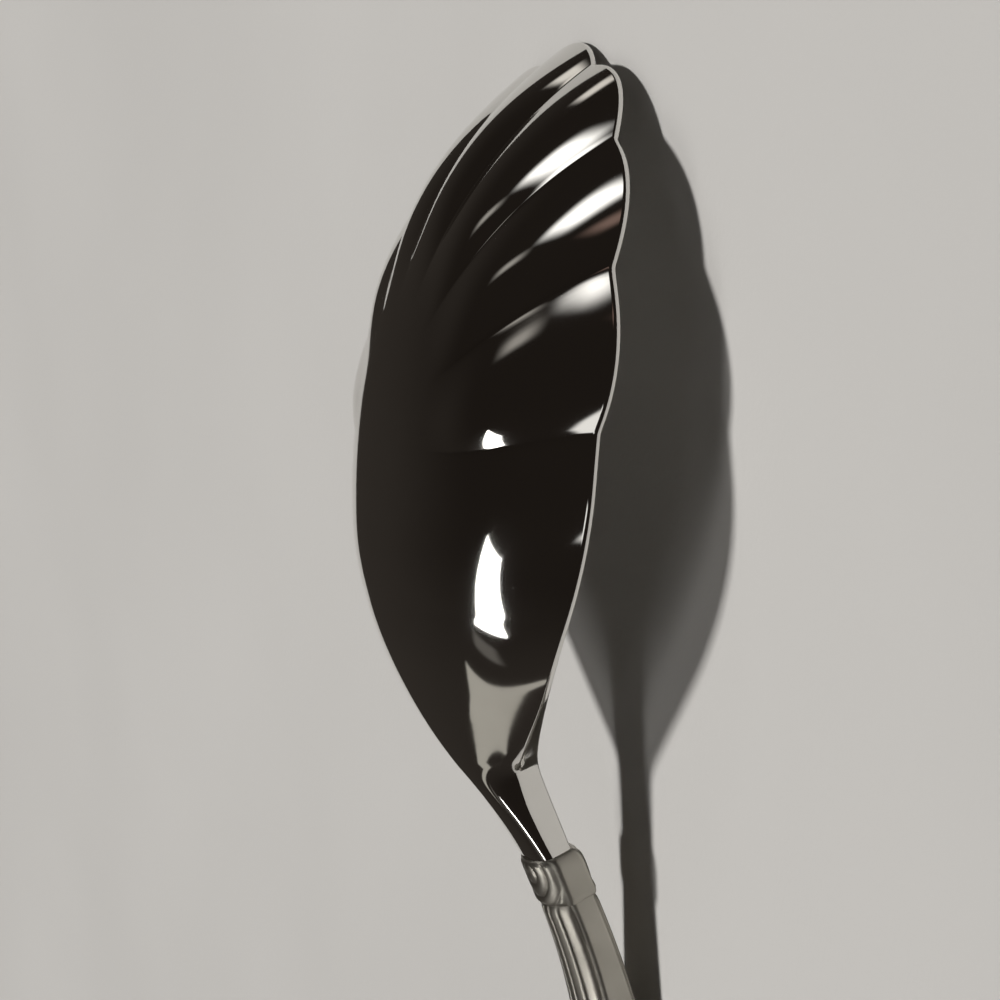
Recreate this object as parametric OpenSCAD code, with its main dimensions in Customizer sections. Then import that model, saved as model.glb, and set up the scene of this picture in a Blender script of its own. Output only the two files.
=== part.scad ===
// Sugar spoon with a fluted shell bowl and a hollow reeded handle, lying face down on its tip and handle.
// The spoon is laid out flat first: along the length, across it, and up towards the back of the spoon.
// That flat layout is then bent along a side-view spine, and tilted until it rests on the ground.

/* [Bowl] */
// Width of the bowl between the last two notches of the rim
bowl_w = 40; // [34:0.5:46]
// From the widest section forward to the tip, along the rim
bowl_front = 30.5; // [26:0.2:36]
// From the widest section back to the point where the bowl's sides would meet
bowl_rear = 25.8; // [22:0.2:30]
// Depth of the bowl outside, from the rim to the keel
bowl_depth = 8.7; // [6:0.1:12]
// Wall at the middle of the bowl
bowl_wall = 1.2; // [0.9:0.1:1.8]
// Height of the rim's outer edge
rim_edge = 0.4; // [0.3:0.1:0.8]
// Flat width of the rim
rim_land = 1; // [0.6:0.1:1.4]
// Fullness of the bowl's sections, where 2 is a parabola
bowl_fullness = 2.4; // [1.8:0.1:3]
// Fullness of the front outline, where 2 is an ellipse
tip_fullness = 2.3; // [2:0.1:3]

/* [Flutes] */
// Lobes on each side of the tip lobe
side_lobes = 3; // [2:1:5]
// Where the last groove meets the rim, as an angle round the front outline
flute_end = 85; // [70:1:88]
// How far the middle grooves shift towards the sides, in degrees
flute_bias = 3.5; // [0:0.5:5]
// Swell of each lobe, as a share of its width at the rim
lobe_swell = 0.12; // [0.05:0.01:0.18]
// Dip of each lobe's rim towards the front, as a share of its width
lobe_dip = 0.02; // [0:0.005:0.05]
// Lift of each lobe's back between the bowl's middle and the rim, as a share of its width
lobe_lift = 0.1; // [0:0.01:0.12]
// How far the side lobes' crests lean towards the stem, where 0 is an even lobe
lobe_skew = 0.45; // [0:0.05:0.6]
// How much lower the last lobes lift than the tip lobe, as a share
lift_loss = 0.3; // [0:0.05:0.6]
// Where the flutes begin, as a share of the way from the bowl's middle to the rim
flute_start = 0.38; // [0.3:0.02:0.6]
// How far the side grooves lean back towards the stem on their way in, in degrees
flute_sweep = 20; // [0:1:22]

/* [Stem] */
// Width of the stem
stem_w = 5.4; // [4.6:0.1:7]
// Height of the stem's flat side
stem_side = 2.1; // [1.6:0.1:2.4]
// Height of the stem at its middle
stem_t = 2.9; // [2.5:0.1:3.6]
// How much thinner the stem is at the collar
stem_waist = 0.15; // [0:0.05:0.3]
// From the collar to the bowl's widest section
stem_reach = 31; // [28:0.2:36]
// Straight stretch of the stem
stem_straight = 9; // [6:0.5:12]
// Radius of the bend from the stem into the bowl
neck_r = 30; // [22:1:45]
// Radius of the plan fillet between the stem and the bowl
neck_fillet = 0.6; // [0.3:0.1:1.5]
// Slope of the stem against the bowl
neck_angle = 30.5; // [24:0.5:36]
// Slope of the rim where the bowl's own sweep begins
bowl_angle = 8.5; // [5:0.5:12]
// Radius of the rim's sweep in side view
rim_r = 102; // [80:2:140]

/* [Tang] */
// Width of the tang
tang_w = 2.8; // [2:0.1:3.2]
// Thickness of the tang
tang_t = 1; // [0.6:0.1:1.1]
// Length of the tang behind the stem
tang_len = 30; // [20:1:50]

/* [Collar] */
// Length of the collar
collar_len = 4; // [3:0.2:6]
// How far the collar's side swells past the handle
collar_swell = 0.4; // [0.2:0.1:0.8]
// How far the collar stands proud of the handle's faces
collar_proud = 0.2; // [0.1:0.05:0.5]

/* [Handle] */
// Length of the handle behind the collar
handle_len = 84; // [70:1:100]
// Width of the handle at the collar
handle_w = 5.7; // [5.5:0.1:7.5]
// Width of the handle where its rounded end begins
end_w = 14; // [11:0.5:18]
// Length of the rounded end
end_len = 8; // [6:0.5:12]
// Height of the handle's side at the collar
side_start = 1.8; // [1.7:0.1:2.6]
// Height of the handle's side past its arch
side_full = 2.65; // [2.2:0.05:3.4]
// Crown of the back face
back_crown = 1.2; // [1:0.1:1.6]
// Crown of the front face
front_crown = 0.3; // [0.2:0.05:1]
// Wall of the handle's shells
shell_wall = 0.5; // [0.4:0.05:0.6]
// Height of the seam between the shells above the stem's front face
seam_h = 0.65; // [0.4:0.05:0.75]
// Radius of the arch behind the collar
arch_r = 66; // [40:1:80]
// Slope of the handle where its long gentle arch begins
handle_angle = 11.75; // [8:0.25:18]
// Radius of the handle's long gentle arch
handle_r = 500; // [300:10:900]

/* [Reeds] */
// Reeds across each face of the handle
reeds = 5; // [3:2:9]
// Height of the reeds
reed_h = 0.25; // [0.1:0.05:0.4]
// Length over which the reeds fade out before the handle's end
reed_fade = 16; // [8:1:30]

/* [Hidden] */

// Clearance of the tang and of the cement, all round
fit_gap = 0.05;
// Colours of the metal and of the cement
steel = [0.74, 0.73, 0.70];
cement = [0.62, 0.58, 0.52];

// Mesh counts: steps across half the bowl, along stem and bowl, along the tang, round a lobe,
// across a reed, along the handle, round its end and along the collar
across = 14;
along = 26;
tang_steps = 12;
lobe_steps = 6;
reed_steps = 4;
handle_steps = 22;
end_steps = 7;
collar_steps = 8;

// Last angle of the rounded end, short of its point
end_angle = 84;
// How far the stem's keel and side keep their height before the bowl takes over
keel_from = -1.8;
keel_to = 25;
side_from = 5;
side_to = 16;
// Length over which the stem thins towards the collar
waist_len = 5;
// Share of the bowl's rear at which its outline stops narrowing, past the stem's own width
past_rear = 1.2;
// Where the hollow of the bowl begins, behind the stem's straight
hollow_from = stem_straight;
// Height of the tang's middle above the stem's front face, and the bevel of its front corners
tang_h = 0.9;
tang_bevel = 0.1;
// Rim land on the tang and stem, where the front is a plain flat face
flat_land = 0.4;
// Steepness of the flutes where they begin, where 1 is a plain smooth step
flute_rise = 0.7;
// Shares of the way to the rim where the lobes begin to lift, and where the lift is full and starts to fall
lift_from = 0.34;
lift_full = 0.6;
// Stretch of a half wave that the collar's side follows, from the stem to the handle
collar_wave = [0.12, 0.92];

half_w = bowl_w / 2;
deg = 180 / PI;

// Smooth step from 0 at a to 1 at b
function ease(x, a, b) = (1 - cos(180 * min(1, max(0, (x - a) / (b - a))))) / 2;
// Larger of p and q, with a fillet of size k where they cross
function soft_max(p, q, k) = (p + q + sqrt((p - q) * (p - q) + 4 * k * k)) / 2;
function flip(faces) = [for (f = faces) [f[2], f[1], f[0]]];
// Two triangles, clockwise from outside for corners given anticlockwise
function quad(a, b, c, d) = [[a, c, b], [a, d, c]];
function flat(lists) = [for (l = lists) each l];

// Spine in side view: a chain of arcs from the collar, as [x, z, slope]
function run(p, len, r) =
    r == 0
    ? [p[0] + len * cos(p[2]), p[1] + len * sin(p[2]), p[2]]
    : let (a = p[2] + len / r * deg)
      [p[0] + r * (sin(a) - sin(p[2])), p[1] - r * (cos(a) - cos(p[2])), a];

shoulder = [0, 0, neck_angle];
neck_len = neck_r * (neck_angle - bowl_angle) / deg;
stem_end = run(shoulder, stem_straight, 0);
neck_end = run(stem_end, neck_len, -neck_r);
collar_end = run(shoulder, -collar_len, 0);
arch_len = arch_r * (neck_angle - handle_angle) / deg;
arch_end = run(collar_end, -arch_len, arch_r);

// Point and slope of the spine at a length towards the tip, negative towards the handle's end
function spine(l) =
    l > stem_straight + neck_len ? run(neck_end, l - stem_straight - neck_len, -rim_r) :
    l > stem_straight ? run(stem_end, l - stem_straight, -neck_r) :
    l > -collar_len ? run(shoulder, l, 0) :
    l > -collar_len - arch_len ? run(collar_end, l + collar_len, arch_r) :
    run(arch_end, l + collar_len + arch_len, handle_r);

// Flat layout point [along, across, up] bent along the spine
function bend(p) =
    let (s = spine(p[0]))
    [s[0] - p[2] * sin(s[2]), p[1], s[1] + p[2] * cos(s[2])];

// Bowl outline behind the widest section
function outline(l) =
    let (narrow = stem_w / 2, wide = half_w * cos(90 * min(past_rear, (stem_reach - l) / bowl_rear)))
    soft_max(wide, narrow, neck_fillet) - soft_max(half_w, narrow, neck_fillet) + half_w;
function waist(l) = stem_waist * pow(max(0, 1 - l / waist_len), 2);
function keel(l) = stem_t + (bowl_depth - stem_t) * ease(l, keel_from, keel_to) - waist(l);
function edge(l) = stem_side + (rim_edge - stem_side) * ease(l, side_from, side_to) - 2 * waist(l);
function land(l) = flat_land + (rim_land - flat_land) * ease(l, side_from, side_to);
function hollow(l) = (bowl_depth - bowl_wall) * ease(l, hollow_from, keel_to);
function dome(v) = 1 - pow(abs(v), bowl_fullness);

// One row of the bowl's back surface: width, edge, keel and front heights given
function back_row(l, w, e, k, front) = [
    for (j = [-across - 1:across + 1])
        let (v = max(-1, min(1, j / across)))
        [l, v * w, abs(j) > across ? front : e + (k - e) * dome(v)]
];
// One row of the bowl's front surface
function front_row(l, w, depth, front) = [
    for (j = [-across - 1:across + 1])
        let (v = j / (across + 1))
        [l, v * w, front + depth * dome(v)]
];

stem_rows = [for (i = [0:along]) stem_reach * i / along];
tang_top = tang_h + tang_t / 2;
tang_low = tang_h - tang_t / 2;
tang_rows = [for (i = [tang_steps:-1:0]) -tang_len * i / tang_steps];
rear_back = concat(
    [for (l = tang_rows) back_row(l, tang_w / 2, tang_top, tang_top, tang_low + tang_bevel)],
    [for (l = stem_rows) back_row(l, outline(l), edge(l), keel(l), 0)]
);
rear_front = concat(
    [for (l = tang_rows) front_row(l, tang_w / 2 - flat_land, 0, tang_low)],
    [for (l = stem_rows) front_row(l, outline(l) - land(l), hollow(l), 0)]
);

// Front outline, as a vector from the bowl's middle at an angle round it
function front_outline(a) = [bowl_front * pow(cos(a), 2 / tip_fullness), half_w * sin(a)];
// Angle of groove i, counted from the middle of the tip lobe, negative on the other side
function groove(i) =
    let (even = flute_end * (abs(i) + 0.5) / (side_lobes + 0.5))
    sign(i + 0.5) * (even + flute_bias * sin(2 * even));
function groove_angle(i) = i >= 0 ? groove(i) : -groove(-i - 1);

// Rays of the fluted front, from one side to the other, as [angle, lobe profile, lobe width, share of the lift]
last = side_lobes;
// Share of the way across lobe i, with its crest drawn towards the stem
function skewed(t, i) = t - lobe_skew * i / last * t * (1 - t);
plain_rays = [for (t = [0, 0.5]) [-90 + t * (90 - groove_angle(last)), 0, 0, 0]];
lobe_rays = [
    for (i = [-last:last])
        let (a = groove_angle(i - 1), b = groove_angle(i))
        let (w = norm(front_outline(b) - front_outline(a)))
        for (k = [0:lobe_steps - 1])
            let (t = k / lobe_steps, s = skewed(t, i))
            [a + t * (b - a), 4 * s * (1 - s), w, 1 - lift_loss * abs(i) / last]
];
far_rays = [for (t = [1, 0.5, 0]) [90 - t * (90 - groove_angle(last)), 0, 0, 0]];
rays = concat(plain_rays, lobe_rays, far_rays);
ray_count = len(rays);

// Angle of a ray at a share f of its way out, with the lean that grows towards the last groove
function lean(a, f) =
    let (s = abs(a) / 90)
    a + sign(a) * flute_sweep * min(0.5, 1 - f) * pow(s, 3) * (1 - pow(s, 8));
// Swell of a lobe along its groove line, from nothing at the middle to full at the rim
function swell(f) = f * pow(ease(f, flute_start, 1), flute_rise);
// Lift of a lobe, full half way out and back to nothing at the rim
function lift(f) = f * ease(f, lift_from, lift_full) * ease(1 - f, 0, 1 - lift_full);
function fluted(ray, f, inset, depth, low) =
    let (rim = front_outline(lean(ray[0], f)), r = norm(rim))
    let (out = f * (r - inset) + lobe_swell * ray[2] * ray[1] * swell(f))
    let (raised = lobe_lift * ray[3] * lift(f) - lobe_dip * swell(f))
    let (up = low + depth * dome(f) + ray[2] * ray[1] * raised)
    [stem_reach + rim[0] / r * out, rim[1] / r * out, up];
function back_ray(ray) = [
    for (j = [1:across + 1])
        j > across
        ? fluted(ray, 1, 0, 0, 0)
        : fluted(ray, j / across, 0, bowl_depth - rim_edge, rim_edge)
];
function front_ray(ray) = [
    for (j = [1:across + 1]) fluted(ray, j / (across + 1), rim_land, bowl_depth - bowl_wall, 0)
];

// Indices of a sheet: rows of the rear, then the rays of the front that the last row doesn't hold
row_len = 2 * across + 3;
row_count = len(rear_back);
function row_id(i, j) = i * row_len + j + across + 1;
function ray_id(k, j) =
    j == 0 ? row_id(row_count - 1, 0) :
    k == 0 ? row_id(row_count - 1, -j) :
    k == ray_count - 1 ? row_id(row_count - 1, j) :
    row_count * row_len + (k - 1) * (across + 1) + j - 1;
sheet_faces = concat(
    flat([for (i = [0:row_count - 2], j = [-across - 1:across])
        quad(row_id(i, j), row_id(i + 1, j), row_id(i + 1, j + 1), row_id(i, j + 1))]),
    [for (k = [0:ray_count - 2]) [ray_id(k, 0), ray_id(k + 1, 1), ray_id(k, 1)]],
    flat([for (k = [0:ray_count - 2], j = [1:across])
        quad(ray_id(k, j), ray_id(k, j + 1), ray_id(k + 1, j + 1), ray_id(k + 1, j))])
);
// The sheet's open edge, once round: down one side, round the rim, back up, and across the tang's end
sheet_edge = concat(
    [for (i = [0:row_count - 1]) row_id(i, -across - 1)],
    [for (k = [1:ray_count - 2]) ray_id(k, across + 1)],
    [for (i = [row_count - 1:-1:0]) row_id(i, across + 1)],
    [for (j = [across:-1:-across]) row_id(0, j)]
);
inner_rays = [for (k = [1:ray_count - 2]) rays[k]];
back_sheet = concat(flat(rear_back), flat([for (r = inner_rays) back_ray(r)]));
front_sheet = concat(flat(rear_front), flat([for (r = inner_rays) front_ray(r)]));

// Solid between two sheets of the same layout
function between(sheet, loop, n) = concat(
    sheet,
    [for (f = flip(sheet)) [f[0] + n, f[1] + n, f[2] + n]],
    flat([for (i = [0:len(loop) - 1])
        let (a = loop[i], b = loop[(i + 1) % len(loop)])
        quad(b, a, a + n, b + n)])
);

// Handle: widths and heights at a length behind the collar, without and with a wall taken off
function taper(u) = (handle_w + (end_w - handle_w) * u / (handle_len - end_len)) / 2;
function side(u) = side_start + (side_full - side_start) * ease(u, 0, arch_len);
function reeded(u) = reed_h * ease(handle_len - u, end_len / 2, reed_fade);
straight_len = handle_len - end_len;
straight_stations = [for (i = [0:handle_steps]) straight_len * i / handle_steps];
end_turns = [for (i = [1:end_steps]) end_angle * i / end_steps];

// Stations of the handle as [length behind the collar, half width, share of the crown], inset all round
function stations(inset, start) = concat(
    [for (u = straight_stations) [max(u, start), taper(max(u, start)) - inset, 1]],
    [for (a = end_turns)
        let (u = straight_len + (end_len - inset) * sin(a) / sin(end_angle))
        [u, (taper(straight_len) - inset) * cos(a), cos(a)]]
);
columns = reeds * reed_steps;
function reed_at(j) = sin(180 * (j % reed_steps) / reed_steps);
// One row across a shell: up the side, over the crown with its reeds, and down the other side
function shell_row(st, up, crown, reed, inset) =
    let (l = -collar_len - st[0], s = side(st[0]) / 2)
    concat(
        [[l, -st[1], seam_h]],
        [for (j = [0:columns])
            let (v = 2 * j / columns - 1)
            [l, v * st[1], seam_h + up * (s + st[2] * crown * (1 - v * v) + reed * reed_at(j) - inset)]],
        [[l, st[1], seam_h]]
    );
outer_stations = stations(0, 0);
inner_stations = stations(shell_wall, 0);
shell_count = len(outer_stations);
shell_len = columns + 3;
function shell_id(i, j) = i * shell_len + j;
shell_faces = concat(
    flat([for (i = [0:shell_count - 2], j = [0:shell_len - 2])
        quad(shell_id(i, j), shell_id(i + 1, j), shell_id(i + 1, j + 1), shell_id(i, j + 1))]),
    [for (j = [1:shell_len - 2])
        [shell_id(shell_count - 1, 0), shell_id(shell_count - 1, j), shell_id(shell_count - 1, j + 1)]]
);
shell_edge = concat(
    [for (i = [0:shell_count - 1]) shell_id(i, 0)],
    [for (i = [shell_count - 1:-1:0]) shell_id(i, shell_len - 1)],
    [for (j = [shell_len - 2:-1:1]) shell_id(0, j)]
);
function shell_points(up, crown) = concat(
    flat([for (st = outer_stations) shell_row(st, up, crown, reeded(st[0]), 0)]),
    flat([for (st = inner_stations) shell_row(st, up, crown, 0, shell_wall)])
);

// Closed section of a crowned bar: over the back from one side to the other, and back under the front
ring_steps = 12;
function ring(l, w, back, back_c, front, front_c) = concat(
    [for (j = [0:ring_steps]) let (v = 2 * j / ring_steps - 1) [l, v * w, back + back_c * (1 - v * v)]],
    [for (j = [0:ring_steps]) let (v = 1 - 2 * j / ring_steps) [l, v * w, front - front_c * (1 - v * v)]]
);
ring_len = 2 * ring_steps + 2;
function ring_faces(i, n) = flat([
    for (j = [0:ring_len - 1])
        let (k = (j + 1) % ring_len)
        quad(i * ring_len + j, i * ring_len + k, n * ring_len + k, n * ring_len + j)
]);
function cap_faces(i) = flat([
    for (j = [0:ring_steps - 1])
        let (b = i * ring_len)
        quad(b + j, b + ring_len - 1 - j, b + ring_len - 2 - j, b + j + 1)
]);

// Tang's section grown by a clearance, at a length along the spine
function tang_ring(l, gap) = ring(l, tang_w / 2 + gap, tang_top + gap, 0, tang_low - gap, 0);

// Collar: from the stem's shoulder back to the handle, swelling at its sides
function collar_ring(t) =
    let (a = 180 * (collar_wave[0] + (collar_wave[1] - collar_wave[0]) * t))
    let (w = handle_w / 2 + collar_swell * sqrt(sin(a)))
    let (s = side_start / 2 + collar_proud)
    ring(-collar_len * t, w, seam_h + s, back_crown + reed_h, seam_h - s, front_crown + reed_h);
collar_rings = concat(
    [tang_ring(0, fit_gap)],
    [for (i = [0:collar_steps]) collar_ring(i / collar_steps)],
    [tang_ring(-collar_len, fit_gap)]
);

// Cement: the shells' hollow less a clearance, with a socket for the tang
core_inset = shell_wall + fit_gap;
function core_ring(st) =
    let (s = side(st[0]) / 2 - core_inset)
    ring(-collar_len - st[0], st[1], seam_h + s, st[2] * back_crown, seam_h - s, st[2] * front_crown);
socket_len = tang_len - collar_len;
socket_rows = [for (i = [tang_steps:-1:0]) -collar_len - fit_gap - socket_len * i / tang_steps];
core_rings = concat(
    [for (l = socket_rows) tang_ring(l, fit_gap)],
    [for (st = stations(core_inset, fit_gap)) core_ring(st)]
);

// Resting pose: tilt until the tip and the handle's front crest touch the ground, then centre it
tip_lobe = norm(front_outline(groove_angle(0)) - front_outline(groove_angle(-1)));
tip = bend(fluted([0, 1, tip_lobe, 1], 1, 0, 0, 0));
crest = [
    for (st = outer_stations)
        bend([-collar_len - st[0], 0, seam_h - side(st[0]) / 2 - st[2] * front_crown - reeded(st[0])])
];
tilt = max([for (p = crest) atan2(tip[2] - p[2], tip[0] - p[0])]);
function level(p) = [p[0] * cos(tilt) + p[2] * sin(tilt), p[1], p[2] * cos(tilt) - p[0] * sin(tilt)];
function lay(points) = [for (p = points) level(bend(p))];
bowl_points = lay(concat(back_sheet, front_sheet));
back_points = lay(shell_points(1, back_crown));
front_points = lay(shell_points(-1, front_crown));
reach = [for (p = concat(bowl_points, back_points, front_points)) p[0]];
ground = [for (p = concat(bowl_points, front_points)) p[2]];
origin = [(min(reach) + max(reach)) / 2, 0, min(ground)];

module bowl() {
    color(steel)
        translate(-origin)
            polyhedron(bowl_points, between(sheet_faces, sheet_edge, len(back_sheet)), convexity = 8);
}

module collar() {
    n = len(collar_rings);
    color(steel)
        translate(-origin)
            polyhedron(
                lay(flat(collar_rings)),
                flat([for (i = [0:n - 1]) ring_faces(i, (i + 1) % n)]),
                convexity = 4
            );
}

module handle_back() {
    color(steel)
        translate(-origin)
            polyhedron(
                back_points,
                flip(between(shell_faces, shell_edge, len(back_points) / 2)),
                convexity = 6
            );
}

module handle_front() {
    color(steel)
        translate(-origin)
            polyhedron(
                front_points,
                between(shell_faces, shell_edge, len(front_points) / 2),
                convexity = 6
            );
}

module handle_filler() {
    n = len(core_rings);
    color(cement)
        translate(-origin)
            polyhedron(
                lay(flat(core_rings)),
                concat(
                    cap_faces(0),
                    flat([for (i = [0:n - 2]) ring_faces(i, i + 1)]),
                    flip(cap_faces(n - 1))
                ),
                convexity = 4
            );
}

bowl();
collar();
handle_back();
handle_front();
handle_filler();
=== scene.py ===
import bpy
import numpy as np
from mathutils import Matrix, Vector


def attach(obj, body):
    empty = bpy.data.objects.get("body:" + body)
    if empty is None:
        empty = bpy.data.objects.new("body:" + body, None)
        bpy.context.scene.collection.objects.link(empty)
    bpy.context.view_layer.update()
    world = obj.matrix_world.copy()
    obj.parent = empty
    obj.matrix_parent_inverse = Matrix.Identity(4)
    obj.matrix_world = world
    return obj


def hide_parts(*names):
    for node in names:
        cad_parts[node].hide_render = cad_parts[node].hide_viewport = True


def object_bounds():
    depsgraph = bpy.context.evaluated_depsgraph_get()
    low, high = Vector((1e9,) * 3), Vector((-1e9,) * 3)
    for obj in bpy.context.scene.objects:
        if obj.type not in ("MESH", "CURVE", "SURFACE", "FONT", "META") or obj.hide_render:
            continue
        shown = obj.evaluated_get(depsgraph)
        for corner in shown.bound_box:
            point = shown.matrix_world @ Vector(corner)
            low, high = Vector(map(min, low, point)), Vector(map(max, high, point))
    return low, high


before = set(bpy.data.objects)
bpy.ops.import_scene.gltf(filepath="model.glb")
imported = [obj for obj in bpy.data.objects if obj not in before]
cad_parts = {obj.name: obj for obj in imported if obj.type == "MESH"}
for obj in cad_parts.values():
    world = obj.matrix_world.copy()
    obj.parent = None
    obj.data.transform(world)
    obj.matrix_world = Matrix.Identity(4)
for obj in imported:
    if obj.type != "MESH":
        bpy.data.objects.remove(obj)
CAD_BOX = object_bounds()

# A polished sugar spoon with a fluted shell bowl, lying face down. Sizes are in millimetres and degrees,
# as in the solid model, and the finished points are in metres. As there, the spoon is laid out flat first
# (along, across, up), then bent along its side-view spine, tilted until it rests on the ground, and moved
# to the origin.
MM = 0.001

# Bowl
BOWL_W = 40
BOWL_FRONT = 30.5
BOWL_REAR = 25.8
BOWL_DEPTH = 8.7
BOWL_WALL = 1.2
RIM_EDGE = 0.4
RIM_LAND = 1
# How full the back's sections and the front outline are, where more is squarer
BOWL_FULLNESS = 2.4
TIP_FULLNESS = 2.3
HALF_W = BOWL_W / 2

# Flutes: lobes on each side of the tip lobe, angle of the last groove, and shift of the middle grooves
SIDE_LOBES = 3
FLUTE_END = 85
FLUTE_BIAS = 3.5
# Swell of each lobe's rim and dip of its edge, as shares of its width. The swell is a little under the solid
# model's, so that the finer mesh stays inside it.
LOBE_SWELL = 0.118
LOBE_DIP = 0.02
# Share of the way out where the flutes start, and the power by which they rise
FLUTE_START = 0.38
FLUTE_RISE = 0.7
# How far the side grooves lean back on their way in, the share of that way over which they lean, and the
# powers by which the lean grows towards the last groove and ends at the bowl's widest section
FLUTE_SWEEP = 20
SWEEP_REACH = 0.5
SWEEP_GROWTH = 3
SWEEP_END = 8
# Lift of each lobe's back as a share of its width, where it begins, and where it is full and starts to fall
LOBE_LIFT = 0.1
LIFT_FROM = 0.34
LIFT_FULL = 0.6
# How far the side lobes' crests lean towards the stem, and how much lower the last lobes lift
LOBE_SKEW = 0.45
LIFT_LOSS = 0.3
# Rounding of a groove's bottom, as a share of the lobe's width
GROOVE_SOFT = 0.02

# Stem and tang
STEM_W = 5.4
STEM_SIDE = 2.1
STEM_T = 2.9
# How much lower the stem's back is at the collar, where its edges are lower by twice that, and the length
# over which it falls
STEM_WAIST = 0.15
WAIST_LEN = 5
STEM_REACH = 31
STEM_STRAIGHT = 9
NECK_R = 30
NECK_ANGLE = 30.5
BOWL_ANGLE = 8.5
RIM_R = 102
# Fillets between the stem and the bowl: of the outline, and of the back's sections inside it
NECK_FILLET = 0.6
NECK_BLEND = 1.3
# How much less full the back is at the neck, and where that begins, is most and ends
NECK_ROOF = 0.8
NECK_SPAN = (0, 8, 26)
# Where the back starts and stops rising to the bowl's depth, and the edge falling to the rim's
KEEL_FROM = -1.8
KEEL_TO = 25
SIDE_FROM = 4
SIDE_TO = 15
# Share of the bowl's rear at which its outline stops narrowing, past the stem's own width
PAST_REAR = 1.2
FLAT_LAND = 0.4
TANG_W = 2.8
TANG_TOP = 1.4
TANG_LOW = 0.4
TANG_LEN = 30
FIT_GAP = 0.05
# Rounding of the stem's edges and of the neck's crisper shoulder, where the shoulder begins, is crispest and
# ends at the rim, and the most of an edge's height that a rounding takes
EDGE_SOFT = 0.3
SHOULDER_SOFT = 0.15
SHOULDER_SPAN = (3, 9, 20)
SOFT_SHARE = 0.42

# Collar
COLLAR_LEN = 4
COLLAR_SWELL = 0.4
COLLAR_PROUD = 0.2
COLLAR_SOFT = 0.3
# Shares of the collar's length that its rounded ends take, and how far the end at the handle draws in
COLLAR_ROUND = (0.35, 0.15)
COLLAR_DRAW = 0.35
# Ripples on the collar: height, spacing, where on the collar's length they centre, where in their spacing
# they start there, and the power that flattens their crests
RIPPLE_H = 0.16
RIPPLE_SPACING = 1.1
RIPPLE_CENTRE = 0.3
RIPPLE_PHASE = 0.15
RIPPLE_FLAT = 0.6
# Shares of the collar in from the stem, the handle and the sides, where the ripples begin and are full
RIPPLE_BORDERS = ((0.02, 0.14), (0.02, 0.1), (0.06, 0.2))

# Handle
HANDLE_LEN = 84
HANDLE_W = 5.7
END_W = 14
END_LEN = 8
END_ANGLE = 89
SIDE_START = 1.8
SIDE_FULL = 2.65
BACK_CROWN = 1.2
FRONT_CROWN = 0.3
SHELL_WALL = 0.5
SEAM_H = 0.65
ARCH_R = 66
HANDLE_ANGLE = 11.75
HANDLE_R = 500
HANDLE_SOFT = 0.25
# Reeds: count, height, where they start to fade before the end, length and place of their round ends at the
# collar, and the power that flattens their tops
REEDS = 5
REED_H = 0.25
REED_FADE = 16
REED_TIP = 0.7
REED_START = 0.12
REED_FLAT = 6

# Mesh counts
BACK_STEPS = 44
FRONT_STEPS = 30
CORNER_STEPS = 5
STEM_STEPS = 120
TANG_STEPS = 12
LOBE_STEPS = 22
PLAIN_STEPS = 5
COLLAR_STEPS = 60
HANDLE_STEPS = 170
END_STEPS = 24
REED_STEPS = 12
SHARP_ANGLE = 40

# Painted shade in hollows: radius of a hollow that is fully dark, the least length that an edge counts as,
# and how many times a hollow's mark spreads to the points around
HOLLOW_R = 0.5
HOLLOW_EDGE = 0.01
HOLLOW_SPREAD = 2

# Finish: colours of the bowl's metal and of the handle's duller metal, darkened as painted shade for the
# shadowed floor that it mirrors, clean and clouded, and of the painted shade in hollows; their roughness, and
# how much the painted shade covers
METAL_COLOR = (0.76, 0.75, 0.72)
METAL_CLOUDED = (0.72, 0.705, 0.675)
# The handle's colours are darker than the bowl's as painted shade, standing in for the shadowed floor that
# the handle mirrors.
HANDLE_SHADED_COLOR = (0.57, 0.545, 0.49)
HANDLE_SHADED_CLOUDED = (0.49, 0.47, 0.42)
# Colour of the painted shade in hollows, where the surface curves inward.
HOLLOW_SHADE_COLOR = (0.20, 0.17, 0.14)
BOWL_ROUGHNESS = 0.05
HANDLE_ROUGHNESS = 0.42
# How much of the hollows takes painted shade, on the bowl and on the handle.
BOWL_HOLLOW_SHADE = 0.5
HANDLE_HOLLOW_SHADE = 0.95
# Roughness added where the hollows take painted shade, and that scratches have at least, the thinnest painted
# shade as a share of its cover, and the least and the most of the metal's roughness as shares of it
HOLLOW_SHADE_ROUGHNESS = 0.2
SCRATCH_ROUGHNESS = 0.12
HOLLOW_SHADE_LEAST = 0.6
GLOSS_RANGE = (0.8, 1.25)
# Height of the polishing ripple in metres, and the scratches' depth as a share of it
POLISH_RIPPLE = 0.0000008
SCRATCH_DEPTH = 0.3
# Scratches: grains a metre along each axis, turn, and the noise level from which they show; and the rise in
# level over which they reach their full depth
HAIRLINES = (((70, 3500, 3500), 18, 0.70), ((3000, 60, 3000), -25, 0.71))
HAIRLINE_EDGE = 0.1
# Cement and table: two tones, range of roughness, and height of the grit or tooth in metres
CEMENT_TONES = ((0.52, 0.48, 0.42), (0.70, 0.66, 0.60))
CEMENT_ROUGHNESS = (0.75, 0.95)
GRIT_H = 0.0002
TABLE_TONES = ((0.555, 0.545, 0.53), (0.57, 0.56, 0.545))
TABLE_ROUGHNESS = (0.5, 0.6)
TOOTH_H = 0.00002
# Grains a metre of each kind of noise, and the noise levels between which a tone or a finish changes
CLOUD_GRAINS = 90
POLISH_GRAINS = 700
GRIT_GRAINS = 1500
TABLE_GRAINS = 14
TOOTH_GRAINS = 1800
TONE_SPAN = (0.35, 0.65)
FINISH_SPAN = (0.3, 0.7)

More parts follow.
